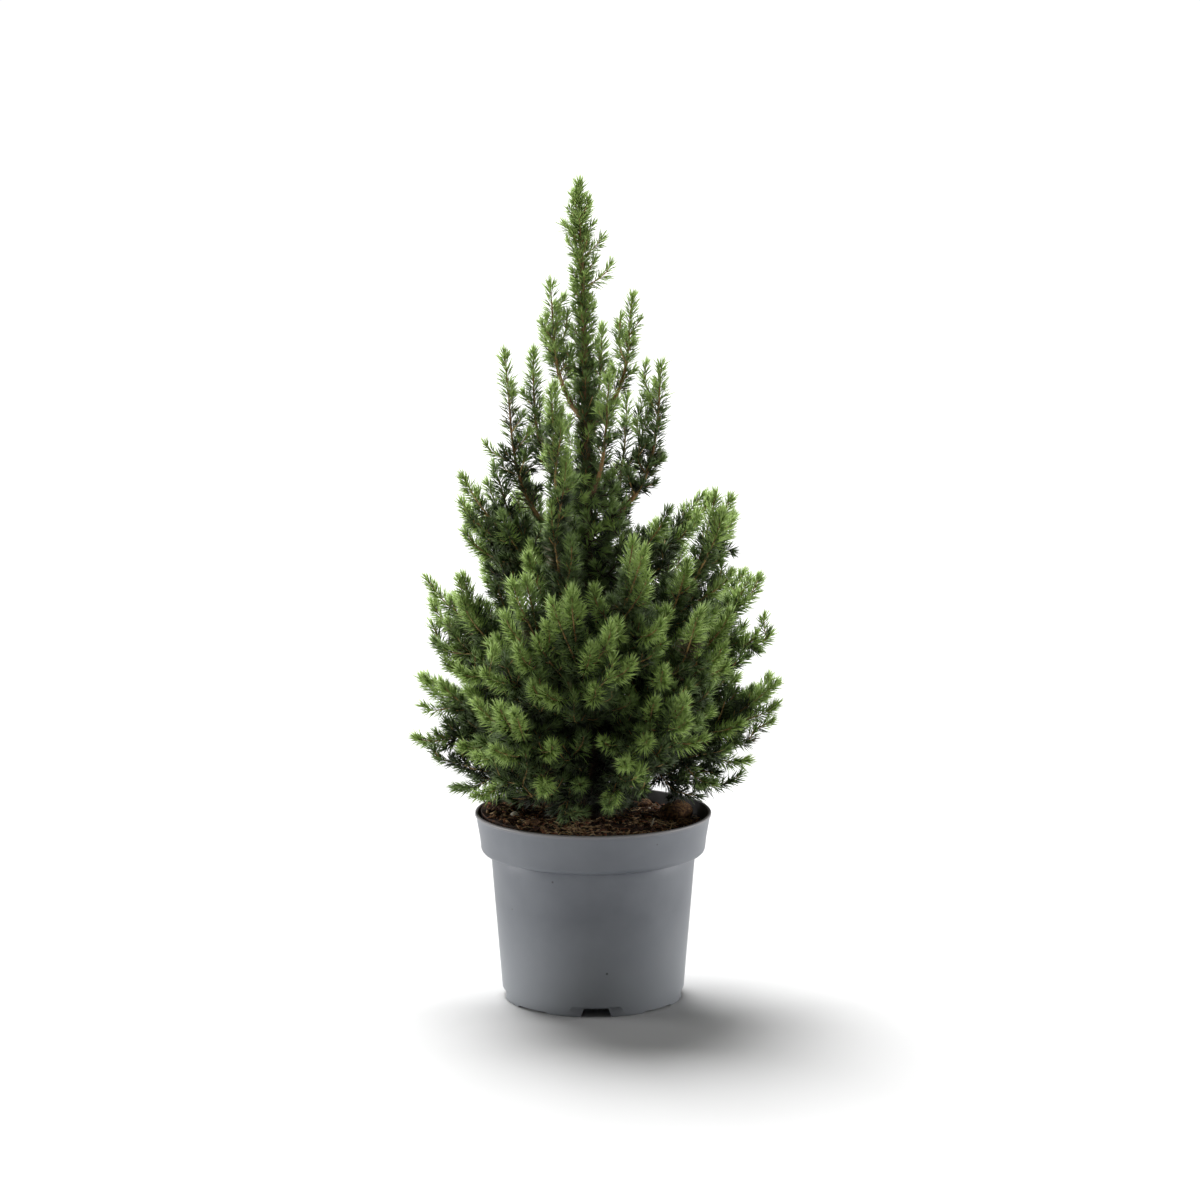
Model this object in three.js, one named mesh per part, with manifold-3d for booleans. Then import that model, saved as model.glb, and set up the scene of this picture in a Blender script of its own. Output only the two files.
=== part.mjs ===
// A dwarf Alberta spruce growing in a round nursery pot. Millimetres, +Z up.
// The origin is the middle of the pot's foot, on the ground. The front faces -Y.
// Bearings are degrees round the pot's axis: 0 right, 90 back, 180 left, 270 front.
import * as THREE from "three";
import { mergeVertices } from "three/addons/utils/BufferGeometryUtils.js";
import Module from "manifold-3d";

const wasm = await Module();
wasm.setup();

// ---------------------------------------------------------------- sizes
const GAP = 0.35; // clearance where two pieces meet
const WELD = 1e-3; // corners closer than this are one corner

// Pot: a thin moulded shell with a lipped band, a tapered body and a notched foot.
const POT_HEIGHT = 152;
const POT_SEGMENTS = 32;
const WALL = 1.6;
const LIP = { radius: 95, depth: 2.4, edge: 0.8 };
const BAND = { top: 94, foot: 90.3, height: 126 };
const BODY = { top: 82.1, topHeight: 117, foot: 73.4, footHeight: 9 };
const FOOT = { radius: 71.9, inner: 67.4, recess: 6.6 };
const NOTCH = { width: 25, topWidth: 19.5, height: 6.5, count: 4, turn: 2 };

// Potting mix: fills the pot to just under the lip, a little higher on the left.
const SOIL = { level: 144.6, floor: 8.6, rise: 4.2, flat: 17, rough: 1.1 };
const SOIL_RINGS = [17, 44, 70];

// Trunk: one leader from the soil to the tip of the tree, leaning slightly left.
const TRUNK = { foot: 145, tip: 646, radius: 7.4, tipRadius: 1.3, lean: 11, sway: 1.6 };
const FLARE = { radius: 5.2, height: 16, roots: 5 };
const TRUNK_SIDES = 9;
const TRUNK_STEPS = 10;

// Limbs: a bare bough runs out from the trunk and its foliage mass takes over.
const BOUGH = { sides: 5, steps: 2, footRadius: 3.3, endRadius: 1.9 };
const MASS = { sides: 6, steps: 6, collar: 3.4, spike: 10, point: 0.3 };
const SIDE = { sides: 5, steps: 3, from: 0.42, girth: 19, spike: 9 };
const ROUGHNESS = 0.2; // how far a mass's skin strays from round, as a share

// The tiers of the crown, from the top down. girth is the half width of a mass,
// bare the share of a limb that has no foliage, body the share of a mass that is
// fat before it narrows to its spike, and lean how far a tip points outwards.
const TIERS = {
  high: { girth: 13, bare: 0.26, body: 0.6, lean: 8 },
  upper: { girth: 21, bare: 0.26, body: 0.66, lean: 6 },
  shoulder: { girth: 33, bare: 0.24, body: 0.66, lean: 14 },
  middle: { girth: 36, bare: 0.28, body: 0.74, lean: 22 },
  low: { girth: 40, bare: 0.24, body: 0.9, lean: 50 },
};

// Each limb: its tier, the height where it leaves the trunk, and its tips as
// [bearing, reach from the axis, height]. The first tip is the limb's own end.
const LIMBS = {
  high_left: { tier: "high", foot: 468, slim: 0.6, tips: [[200, 35, 575], [186, 27, 568], [159, 41, 547]] },
  high_right: { tier: "high", foot: 462, slim: 0.6, tips: [[11, 32, 564], [330, 26, 550]] },
  high_back: { tier: "high", foot: 432, slim: 0.6, tips: [[81, 39, 536], [113, 45, 520]] },
  high_front: { tier: "high", foot: 402, tips: [[290, 36, 504]] },
  slim_left: {
    tier: "upper", foot: 356, girth: 13, slim: 0.55,
    tips: [[171, 71, 518], [179, 84, 454], [181, 57, 474]],
  },
  upper_left: { tier: "upper", foot: 396, girth: 15, tips: [[152, 55, 519]] },
  upper_right: { tier: "upper", foot: 376, slim: 0.7, tips: [[355, 54, 512], [19, 44, 510], [3, 54, 456]] },
  tall_front: { tier: "upper", foot: 236, girth: 24, body: 0.5, tips: [[248, 81, 501]] },
  upper_back: { tier: "upper", foot: 352, girth: 22, tips: [[69, 76, 478], [104, 80, 460]] },
  shoulder_left: { tier: "shoulder", foot: 312, tips: [[173, 77, 431], [187, 99, 416], [168, 97, 383]] },
  shoulder_right: { tier: "shoulder", foot: 330, girth: 27, lean: 48, tips: [[27, 100, 400], [40, 96, 371]] },
  upright_right: { tier: "shoulder", foot: 262, tips: [[340, 103, 412], [350, 112, 395]] },
  shoulder_back: { tier: "shoulder", foot: 284, tips: [[98, 106, 402], [123, 104, 414]] },
  middle_right: { tier: "middle", foot: 226, tips: [[3, 124, 341], [357, 138, 309], [16, 118, 339]] },
  middle_left: { tier: "middle", foot: 232, tips: [[191, 104, 344], [178, 125, 331], [171, 130, 304]] },
  front_right: { tier: "middle", foot: 250, tips: [[288, 100, 382], [297, 117, 317]] },
  front: { tier: "middle", foot: 212, tips: [[262, 108, 347], [277, 121, 304]] },
  front_left: { tier: "middle", foot: 222, tips: [[240, 102, 353], [224, 112, 304]] },
  corner_right: { tier: "middle", foot: 216, tips: [[318, 119, 332]] },
  back_right: { tier: "middle", foot: 240, tips: [[51, 116, 350], [68, 122, 318]] },
  back_left: { tier: "middle", foot: 224, tips: [[137, 117, 346], [146, 128, 300]] },
  low_right: {
    tier: "low", foot: 178,
    tips: [[4, 143, 257], [354, 142, 229], [356, 119, 182], [350, 84, 168]],
  },
  low_left: {
    tier: "low", foot: 184,
    tips: [[176, 139, 238], [184, 131, 204], [168, 137, 256], [186, 92, 169]],
  },
  low_front_right: { tier: "low", foot: 188, tips: [[302, 132, 263], [285, 134, 211], [279, 92, 174]] },
  low_front_left: { tier: "low", foot: 170, tips: [[236, 132, 257], [238, 107, 190], [261, 96, 172]] },
  low_back: { tier: "low", foot: 174, tips: [[92, 134, 252], [74, 124, 204], [109, 126, 215]] },
  low_back_right: { tier: "low", foot: 196, tips: [[42, 133, 262], [30, 132, 208]] },
  low_back_left: { tier: "low", foot: 200, tips: [[137, 136, 266], [150, 130, 212]] },
};

// The leader: foliage round the top of the trunk, with three short side tips.
const LEADER = { foot: 520, top: 653, girth: 14, body: 0.62 };
const LEADER_TIPS = [[335, 19, 617], [348, 24, 591], [163, 12, 622]];

// ---------------------------------------------------------------- materials
function finish(color, roughness) {
  return new THREE.MeshStandardMaterial({ color, roughness, metalness: 0 });
}

const POT_GREY = 0x70757c;
const SOIL_BROWN = 0x2c1c14;
const BARK_BROWN = 0x4a3423;
const NEEDLE_GREEN = 0x3c5428;

// ---------------------------------------------------------------- helpers
// A steady value from 0 to 1 for two whole numbers, so that every build is alike.
function chance(a, b) {
  const wave = Math.sin(a * 12.9898 + b * 78.233) * 43758.5453;
  return wave - Math.floor(wave);
}

function mix(a, b, share) {
  return a + (b - a) * share;
}

function outward(bearing) {
  const turn = THREE.MathUtils.degToRad(bearing);
  return new THREE.Vector3(Math.cos(turn), Math.sin(turn), 0);
}

function placed([bearing, reach, height]) {
  return outward(bearing).multiplyScalar(reach).setZ(height);
}

// A closed three.js geometry as a manifold solid.
function solidOf(geometry) {
  const bare = new THREE.BufferGeometry();
  bare.setAttribute("position", geometry.getAttribute("position"));
  bare.setIndex(geometry.index);
  const welded = mergeVertices(bare, WELD);
  const corners = welded.index.array;
  const kept = [];
  for (let i = 0; i < corners.length; i += 3) {
    const [a, b, c] = corners.subarray(i, i + 3);
    if (a !== b && b !== c && c !== a) kept.push(a, b, c);
  }
  return new wasm.Manifold(
    new wasm.Mesh({
      numProp: 3,
      vertProperties: welded.attributes.position.array,
      triVerts: new Uint32Array(kept),
    }),
  );
}

function geometryOf(solid) {
  const mesh = solid.getMesh();
  const geometry = new THREE.BufferGeometry();
  geometry.setAttribute("position", new THREE.BufferAttribute(mesh.vertProperties, 3));
  geometry.setIndex(new THREE.BufferAttribute(mesh.triVerts, 1));
  geometry.computeVertexNormals();
  return geometry;
}

function largestPiece(solid) {
  const pieces = solid.decompose();
  return pieces.reduce((best, piece) => (piece.volume() > best.volume() ? piece : best));
}

// The solid with every other solid that reaches into it cut away.
function cutRound(solid, others) {
  const cut = others.reduce((rest, other) => rest.subtract(other), solid);
  return largestPiece(cut);
}

// A cylinder bent along a curve, with radiusAt(share of length, angle) as its skin.
function alongCurve(curve, sides, steps, radiusAt) {
  const geometry = new THREE.CylinderGeometry(1, 1, 1, sides, steps);
  const frames = curve.computeFrenetFrames(steps, false);
  const position = geometry.getAttribute("position");
  for (let i = 0; i < position.count; i += 1) {
    const step = Math.round((position.getY(i) + 0.5) * steps);
    const angle = Math.atan2(position.getZ(i), position.getX(i));
    const radius = radiusAt(step / steps, angle) * Math.hypot(position.getX(i), position.getZ(i));
    const point = curve.getPointAt(step / steps);
    point.addScaledVector(frames.normals[step], Math.cos(angle) * radius);
    point.addScaledVector(frames.binormals[step], -Math.sin(angle) * radius);
    position.setXYZ(i, point.x, point.y, point.z);
  }
  return geometry;
}

// The same skin, strayed from round by a steady amount at each corner.
function uneven(radiusAt, sides, steps, seed) {
  return (share, angle) => {
    const side = Math.round((angle / (2 * Math.PI)) * sides + sides) % sides;
    const stray = chance(seed + side, share * steps) - 0.5;
    return radiusAt(share) * (1 + 2 * ROUGHNESS * stray);
  };
}

// ---------------------------------------------------------------- pot and soil
function lathe(profile) {
  const points = profile.map(([radius, height]) => new THREE.Vector2(radius, height));
  const geometry = new THREE.LatheGeometry(points, POT_SEGMENTS);
  return geometry.rotateX(Math.PI / 2);
}

// The pot's inner wall from the floor up, drawn in by inset.
function innerWall(inset) {
  const inside = WALL + inset;
  return [
    [BODY.foot - inside, BODY.footHeight + WALL],
    [BODY.top - inside, BODY.topHeight + WALL / 2],
    [BAND.foot - inside, BAND.height + WALL / 2],
    [BAND.top - inside, POT_HEIGHT - LIP.depth],
  ];
}

function potShell() {
  const inner = innerWall(0).reverse();
  return lathe([
    [0, FOOT.recess],
    [FOOT.inner - 1, FOOT.recess],
    [FOOT.inner, 0],
    [FOOT.radius, 0],
    [BODY.foot, BODY.footHeight],
    [BODY.top, BODY.topHeight],
    [BAND.foot, BAND.height],
    [BAND.top, POT_HEIGHT - LIP.depth],
    [LIP.radius, POT_HEIGHT - LIP.depth + LIP.edge],
    [LIP.radius, POT_HEIGHT - LIP.edge],
    [LIP.radius - LIP.edge, POT_HEIGHT],
    [BAND.top - WALL, POT_HEIGHT],
    ...inner,
    [BODY.foot - WALL * 2, SOIL.floor - GAP],
    [0, SOIL.floor - GAP],
  ]);
}

// One drain notch: a slot through the foot, wider at the ground.
function notch(bearing) {
  const half = NOTCH.width / 2;
  const slope = (NOTCH.width - NOTCH.topWidth) / 2 / NOTCH.height;
  const outline = new THREE.Shape();
  outline.moveTo(-half - slope, -1);
  outline.lineTo(half + slope, -1);
  outline.lineTo(NOTCH.topWidth / 2, NOTCH.height);
  outline.lineTo(-NOTCH.topWidth / 2, NOTCH.height);
  const depth = BODY.foot;
  const slot = new THREE.ExtrudeGeometry(outline, { depth, bevelEnabled: false });
  slot.rotateX(Math.PI / 2);
  slot.rotateZ(THREE.MathUtils.degToRad(bearing + 90));
  return slot;
}

function pot() {
  let shell = solidOf(potShell());
  for (let i = 0; i < NOTCH.count; i += 1) {
    shell = shell.subtract(solidOf(notch((i * 360) / NOTCH.count + NOTCH.turn)));
  }
  return shell;
}

// Height of the mix: highest on the left, rough, and flat under the trunk.
function soilHeight(x, y) {
  const reach = Math.hypot(x, y);
  const away = THREE.MathUtils.smoothstep(reach, SOIL.flat, BODY.top);
  const slant = (-x / BODY.top) * SOIL.rise;
  const rough = (chance(Math.round(x), Math.round(y)) - 0.5) * 2 * SOIL.rough;
  return SOIL.level + away * (slant + rough);
}

function soil() {
  const [low, mid, shoulder, rim] = innerWall(GAP);
  const level = SOIL.level;
  const lowest = level - SOIL.rise - SOIL.rough;
  const edge = mix(shoulder[0], rim[0], (lowest - shoulder[1]) / (rim[1] - shoulder[1]));
  const surface = [...SOIL_RINGS].reverse().map((radius) => [radius, level]);
  const top = [[edge, level], ...surface, [0, level]];
  const geometry = lathe([[0, SOIL.floor], [low[0] - WALL, SOIL.floor], low, mid, shoulder, ...top]);
  const position = geometry.getAttribute("position");
  for (let i = 0; i < position.count; i += 1) {
    if (Math.abs(position.getZ(i) - level) < WELD) {
      position.setZ(i, soilHeight(position.getX(i), position.getY(i)));
    }
  }
  return solidOf(geometry);
}

// ---------------------------------------------------------------- trunk
// The middle of the trunk at a height.
function trunkAt(height) {
  const share = (height - TRUNK.foot) / (TRUNK.tip - TRUNK.foot);
  const sway = Math.sin(share * 3 * Math.PI) * TRUNK.sway;
  return new THREE.Vector3(-TRUNK.lean * share ** 1.6 + sway * 0.4, sway, height);
}

function trunkCurve(top) {
  const points = [];
  for (let i = 0; i <= TRUNK_STEPS; i += 1) {
    points.push(trunkAt(mix(TRUNK.foot, top, (i / TRUNK_STEPS) ** 1.25)));
  }
  return points;
}

// The trunk as rings level with the ground, so that its foot is a flat cut.
function trunk(grow) {
  const rings = trunkCurve(TRUNK.tip + grow);
  const geometry = new THREE.CylinderGeometry(1, 1, 1, TRUNK_SIDES, TRUNK_STEPS);
  geometry.rotateX(Math.PI / 2);
  const position = geometry.getAttribute("position");
  for (let i = 0; i < position.count; i += 1) {
    const middle = rings[Math.round((position.getZ(i) + 0.5) * TRUNK_STEPS)];
    const angle = Math.atan2(position.getY(i), position.getX(i));
    const climb = middle.z - TRUNK.foot;
    const share = climb / (TRUNK.tip - TRUNK.foot);
    const ridge = 0.75 + 0.25 * Math.cos(angle * FLARE.roots);
    const flare = FLARE.radius * ridge * Math.exp(-climb / FLARE.height);
    const radius = mix(TRUNK.radius, TRUNK.tipRadius, share ** 0.85) + flare + grow;
    const spread = Math.hypot(position.getX(i), position.getY(i)) * radius;
    const x = middle.x + Math.cos(angle) * spread;
    position.setXYZ(i, x, middle.y + Math.sin(angle) * spread, middle.z);
  }
  return solidOf(geometry);
}

// ---------------------------------------------------------------- limbs
// A limb's line: out from the trunk, then curving up to its tip.
function limbLine(limb) {
  const tier = TIERS[limb.tier];
  const start = trunkAt(limb.foot);
  const end = placed(limb.tips[0]);
  const run = Math.hypot(end.x - start.x, end.y - start.y);
  const rise = end.z - start.z;
  const out = outward(limb.tips[0][0]);
  const lean = THREE.MathUtils.degToRad(limb.lean ?? tier.lean);
  const elbow = start.clone().addScaledVector(out, run * 0.8).setZ(start.z + run * 0.34);
  const last = end.clone().addScaledVector(out, -Math.sin(lean) * rise * 0.5);
  last.z -= Math.cos(lean) * rise * 0.5;
  return new THREE.CubicBezierCurve3(start, elbow, last, end);
}

// A side tip's line: off the limb part of the way along, then out to its own end.
function sideLine(line, tier, tip) {
  const start = line.getPointAt(SIDE.from);
  const end = placed(tip);
  const lean = THREE.MathUtils.degToRad(tier.lean);
  const reach = start.distanceTo(end) * 0.45;
  const turn = outward(tip[0]).multiplyScalar(-Math.sin(lean) * reach);
  const last = end.clone().add(turn).setZ(end.z - Math.cos(lean) * reach);
  return new THREE.QuadraticBezierCurve3(start, last, end);
}

// The stretch of a line between two shares of its length.
function stretch(line, from, to) {
  const points = [];
  for (let i = 0; i <= 8; i += 1) {
    points.push(line.getPointAt(mix(from, to, i / 8)));
  }
  return new THREE.CatmullRomCurve3(points);
}

function bough(line, bare, grow) {
  const part = stretch(line, 0, bare);
  const radiusAt = (share) => mix(BOUGH.footRadius, BOUGH.endRadius, share) + grow;
  return solidOf(alongCurve(part, BOUGH.sides, BOUGH.steps, radiusAt));
}

// How fat a mass is along its length: a collar, a swelling, a spike and a point.
function plumeRadius(girth, spike, body) {
  return (share) => {
    const swelling = Math.sin(Math.PI * Math.min(share / body, 1) ** 0.8) ** 0.75;
    const tip = spike * mix(1, MASS.point, THREE.MathUtils.smoothstep(share, 0.72, 1));
    const start = THREE.MathUtils.smoothstep(share, 0, 0.18);
    return mix(MASS.collar, Math.max(girth * swelling, tip), start);
  };
}

function plume(line, sides, steps, radiusAt, seed, grow) {
  const skin = uneven(radiusAt, sides, steps, seed);
  return solidOf(alongCurve(line, sides, steps, (share, angle) => skin(share, angle) + grow));
}

// One foliage mass: a plume round the limb, joined by a slimmer one to each side tip.
function mass(limb, line, bare, seed, grow) {
  const tier = { ...TIERS[limb.tier], ...limb };
  const begin = bare + (GAP + 0.05 - grow) / line.getLength();
  const main = plumeRadius(tier.girth, MASS.spike, tier.body);
  let solid = plume(stretch(line, begin, 1), MASS.sides, MASS.steps, main, seed, grow);
  limb.tips.slice(1).forEach((tip, i) => {
    const side = plumeRadius(SIDE.girth * (limb.slim ?? 1), SIDE.spike, 0.86);
    const way = stretch(sideLine(line, tier, tip), 0.2, 1);
    solid = solid.add(plume(way, SIDE.sides, SIDE.steps, side, seed + 31 * (i + 1), grow));
  });
  return solid;
}

function leader(grow) {
  const line = new THREE.CatmullRomCurve3([
    trunkAt(LEADER.foot),
    trunkAt((LEADER.foot + TRUNK.tip) / 2),
    trunkAt(TRUNK.tip),
    trunkAt(TRUNK.tip).setZ(LEADER.top),
  ]);
  const radiusAt = plumeRadius(LEADER.girth, MASS.spike, LEADER.body);
  let solid = plume(line, MASS.sides, MASS.steps, radiusAt, 5, grow);
  LEADER_TIPS.forEach((tip, i) => {
    const end = placed(tip).add(trunkAt(tip[2]).setZ(0));
    const way = new THREE.LineCurve3(trunkAt(tip[2] - 24), end);
    const side = plumeRadius(7, 7, 1);
    solid = solid.add(plume(way, SIDE.sides, SIDE.steps, side, 90 + i, grow));
  });
  return solid;
}

// ---------------------------------------------------------------- assembly
const tree = new THREE.Group();

function addPart(name, solid, material) {
  const mesh = new THREE.Mesh(geometryOf(solid), material);
  mesh.name = name;
  tree.add(mesh);
}

addPart("pot", pot(), finish(POT_GREY, 0.45));
addPart("soil", soil(), finish(SOIL_BROWN, 0.95));
addPart("trunk", trunk(0), finish(BARK_BROWN, 0.85));

const limbs = Object.entries(LIMBS).map(([name, limb], i) => {
  const bare = TIERS[limb.tier].bare;
  return { name, limb, line: limbLine(limb), bare, seed: 100 * (i + 1) };
});

// Boughs are cut round the trunk and round the boughs before them.
const woody = [trunk(GAP)];
for (const { name, line, bare } of limbs) {
  const piece = cutRound(bough(line, bare, 0), woody);
  addPart("bough_" + name, piece, finish(BARK_BROWN, 0.85));
  woody.push(bough(line, bare, GAP));
}

// Masses are cut round all the wood and round the masses before them.
const leafy = [leader(GAP)];
addPart("mass_leader", cutRound(leader(0), woody), finish(NEEDLE_GREEN, 0.8));
for (const { name, limb, line, bare, seed } of limbs) {
  const piece = cutRound(mass(limb, line, bare, seed, 0), [...woody, ...leafy]);
  addPart("mass_" + name, piece, finish(NEEDLE_GREEN, 0.8));
  leafy.push(mass(limb, line, bare, seed, GAP));
}

export default tree;
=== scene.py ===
import math

import bpy
import numpy as np
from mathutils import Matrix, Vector
from mathutils.bvhtree import BVHTree
from mathutils.kdtree import KDTree


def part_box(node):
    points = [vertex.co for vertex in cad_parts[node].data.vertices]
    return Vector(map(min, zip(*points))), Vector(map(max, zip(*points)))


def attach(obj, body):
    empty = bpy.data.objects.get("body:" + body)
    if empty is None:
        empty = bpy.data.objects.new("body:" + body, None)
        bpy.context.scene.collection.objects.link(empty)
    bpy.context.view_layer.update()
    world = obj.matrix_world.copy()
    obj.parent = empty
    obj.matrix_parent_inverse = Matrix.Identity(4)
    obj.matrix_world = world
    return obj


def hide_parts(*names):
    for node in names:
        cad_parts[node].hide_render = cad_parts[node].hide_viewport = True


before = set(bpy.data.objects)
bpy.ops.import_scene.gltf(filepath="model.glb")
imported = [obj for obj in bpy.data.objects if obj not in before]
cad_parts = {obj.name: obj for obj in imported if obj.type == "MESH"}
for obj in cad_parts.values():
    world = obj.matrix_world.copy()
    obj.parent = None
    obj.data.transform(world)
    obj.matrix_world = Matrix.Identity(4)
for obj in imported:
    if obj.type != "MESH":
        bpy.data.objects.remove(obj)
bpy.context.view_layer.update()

# A dwarf Alberta spruce in its nursery pot. Everything is in metres, +Z up, the front faces -Y.
MM = 0.001
RNG = np.random.default_rng(21)
UP = np.array([0.0, 0.0, 1.0])
FULL_TURN = 2 * math.pi

# Pot: a thin injection-moulded shell with a lipped band, a tapered body and a notched foot.
POT_SIDES = 128
POT_WALL = 1.6 * MM
LIP = {"radius": 95.0 * MM, "edge": 92.6 * MM, "top": 152.0 * MM, "foot": 149.0 * MM}
BAND = {"top": 94.0 * MM, "foot": 90.3 * MM, "height": 126.0 * MM}
BODY = {"top": 82.1 * MM, "height": 117.4 * MM, "foot": 73.4 * MM, "foot_height": 9.0 * MM}
FOOT = {"outer": 71.9 * MM, "inner": 67.4 * MM, "recess": 6.6 * MM, "floor": 8.2 * MM}
NOTCH_TURN = 2  # degrees by which the notches are turned from the axes
NOTCHES = 4  # and as many facets and recesses
CUT_REACH = 80 * MM  # what cuts the foot ends this far from the axis, outside the pot
CUT_DROP = 2 * MM  # and begins this far under it
NOTCH = {"near": 60 * MM, "foot": 25 * MM, "top": 19.5 * MM, "height": 6.4 * MM}
FACET = {"near": 71.7 * MM, "foot": 52 * MM, "top": 38 * MM, "height": 8.4 * MM, "splay": 2.6 * MM}
RECESS = {"near": 56 * MM, "foot": 34 * MM, "top": 29 * MM, "height": 1.7 * MM}

# Potting mix: its rough top and what lies on it.
CHIPS = {"count": 900, "length": 6.5 * MM, "width": 2.6 * MM, "thick": 1.1 * MM}
FIBRES = {"count": 260, "length": 18 * MM, "radius": 0.42 * MM}
MIX_RADIUS = 89.5 * MM
MIX_LEVEL = 0.146  # about where its top lies
MIX_SIDE = 0.135  # its smooth side ends at this height
HEAP = 4.6 * MM  # how much higher the mix is heaped against the wall at the left

# Foliage.
STEP = 3 * MM  # spacing of the points along a twig
COVER = 8.0 * MM  # a mass is full when no part of it lies further than this from a twig
SHELL = 8 * MM  # twigs end this far inside a mass, so that their needles reach its skin
LONGEST = 72 * MM  # no side twig is longer
TIP_RADIUS = 0.42 * MM
# The tip sprays are painted lightest, for their new growth and as painted light.
SPRAY = 24 * MM  # the end of a twig that carries the newest, lightest needles
NEEDLE = {"count": 238_000, "length": 12.5 * MM, "width": 0.95 * MM, "thick": 0.45 * MM, "at_tip": 14}
NEEDLE_FACES = 4
NEEDLE_PITCH = 0.4 * MM  # needles climb a twig in a spiral, one golden angle for each pitch
GOLDEN_ANGLE = 2.39996
# Short side shoots along a long twig, each turned further round it than the last.
TUFT = {"every": 10 * MM, "length": 11 * MM, "clear": 5.5 * MM, "turn": math.radians(137.5)}
# Long shoots that stand out of the crown's skin, on masses whose middle is below a height.
SHOOT = {"apart": 27 * MM, "length": 58 * MM, "stand": 5 * MM, "highest": 420 * MM}
CLOTHED = 370 * MM  # the trunk carries needles above this height
# For each kind of twig: how thickly it is clothed, and how long its needles are, as shares.
DRESS = {
    "bare": (0.0, 1.0),
    "limb": (1.2, 0.8),
    "inner": (0.8, 0.86),
    "tuft": (0.75, 0.85),
    "outer": (0.9, 0.98),
    "main": (1.15, 1.08),
    "shoot": (1.4, 1.0),
    "leader": (1.9, 1.05),
}


# ---- small tools
def linear(code):
    """A linear colour from an sRGB hex value."""
    parts = [int(code[i : i + 2], 16) / 255 for i in (1, 3, 5)]
    return [c / 12.92 if c <= 0.04045 else ((c + 0.055) / 1.055) ** 2.4 for c in parts] + [1.0]


def add_node(tree, kind, settings=None, links=None):
    """Adds a shader node, sets its properties and sockets, and links sockets to other nodes' outputs."""
    node = tree.nodes.new("ShaderNode" + kind)
    for key, value in (settings or {}).items():
        if hasattr(node, key):
            setattr(node, key, value)
        else:
            node.inputs[key].default_value = value
    for socket, output in (links or {}).items():
        tree.links.new(output, node.inputs[socket])
    return node


def new_material(name, color, roughness):
    """A material with one Principled shader whose plain values sit on its own sockets."""
    material = bpy.data.materials.new(name)
    material.use_nodes = True
    shader = material.node_tree.nodes["Principled BSDF"]
    shader.inputs["Base Color"].default_value = linear(color)
    shader.inputs["Roughness"].default_value = roughness
    return material, material.node_tree, shader


def object_place(tree):
    return add_node(tree, "TexCoord").outputs["Object"]


def noise(tree, place, grain, detail):
    """Soft noise with grains of a real size."""
    node = add_node(tree, "TexNoise", {"Scale": 1 / grain, "Detail": detail}, {"Vector": place})
    return node.outputs["Fac"]


def ramp(tree, value, stops):
    """Colours for a value, from stops given as (position, sRGB hex)."""
    node = add_node(tree, "ValToRGB", None, {"Fac": value})
    elements = node.color_ramp.elements
    while len(elements) < len(stops):
        elements.new(0.5)
    for element, (position, color) in zip(elements, stops):
        element.position = position
        element.color = linear(color)
    return node.outputs["Color"]


def share_between(tree, value, low, high, start=0.0, end=1.0):
    """A share that goes from start to end as the value goes from low to high."""
    settings = {"From Min": low, "From Max": high, "To Min": start, "To Max": end}
    return add_node(tree, "MapRange", settings, {"Value": value}).outputs["Result"]


def lay_over(tree, under, color, share):
    """A plain colour laid over another by a share."""
    node = add_node(tree, "Mix", {"data_type": "RGBA"}, {"Factor": share, "A": under})
    node.inputs["B"].default_value = linear(color)
    return node.outputs["Result"]


def set_bump(tree, shader, height, strength, distance):
    bump = add_node(tree, "Bump", {"Strength": strength, "Distance": distance}, {"Height": height})
    tree.links.new(bump.outputs["Normal"], shader.inputs["Normal"])


def unit(v):
    return v / max(np.linalg.norm(v), 1e-9)


def lengths(rows):
    return np.linalg.norm(rows, axis=1)


def units(rows):
    """Each row as a direction of length 1."""
    return rows / lengths(rows)[:, None]


def welded(node):
    """Corners and triangles of a CAD node, with the corners of its loose triangles joined."""
    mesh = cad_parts[node].data
    corners = np.empty(len(mesh.vertices) * 3)
    mesh.vertices.foreach_get("co", corners)
    faces = np.array([p.vertices[:] for p in mesh.polygons])
    rounded = np.round(corners.reshape(-1, 3), 6)
    points, index = np.unique(rounded, axis=0, return_inverse=True)
    return points, index.reshape(-1)[faces]


def link(thing):
    bpy.context.scene.collection.objects.link(thing)


def mesh_piece(name, points, faces, materials, indices=None):
    """A new mesh object at the origin from arrays of points and triangles."""
    mesh = bpy.data.meshes.new(name)
    mesh.vertices.add(len(points))
    mesh.vertices.foreach_set("co", np.asarray(points, np.float32).ravel())
    mesh.loops.add(len(faces) * 3)
    mesh.loops.foreach_set("vertex_index", np.asarray(faces, np.int32).ravel())
    mesh.polygons.add(len(faces))
    mesh.polygons.foreach_set("loop_start", np.arange(0, len(faces) * 3, 3, dtype=np.int32))
    mesh.update(calc_edges=True)
    for material in materials:
        mesh.materials.append(material)
    if indices is not None:
        mesh.polygons.foreach_set("material_index", np.asarray(indices, np.int32))
    piece = bpy.data.objects.new(name, mesh)
    link(piece)
    return piece


def declare(piece, nodes=()):
    """The piece rides on the one body and stands for CAD nodes."""
    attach(piece, "root")
    if nodes:
        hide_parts(*nodes)


# ---- modelling tools
def select_only(piece):
    """Selects one piece and makes it the active one."""
    bpy.ops.object.select_all(action="DESELECT")
    piece.select_set(True)
    bpy.context.view_layer.objects.active = piece


def set_mode(mode):
    bpy.ops.object.mode_set(mode=mode)


def modify(piece, kind, **settings):
    """Adds one modifier to the piece and applies it."""
    select_only(piece)
    modifier = piece.modifiers.new(kind.lower(), kind)
    for key, value in settings.items():
        setattr(modifier, key, value)
    bpy.ops.object.modifier_apply(modifier=modifier.name)


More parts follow.
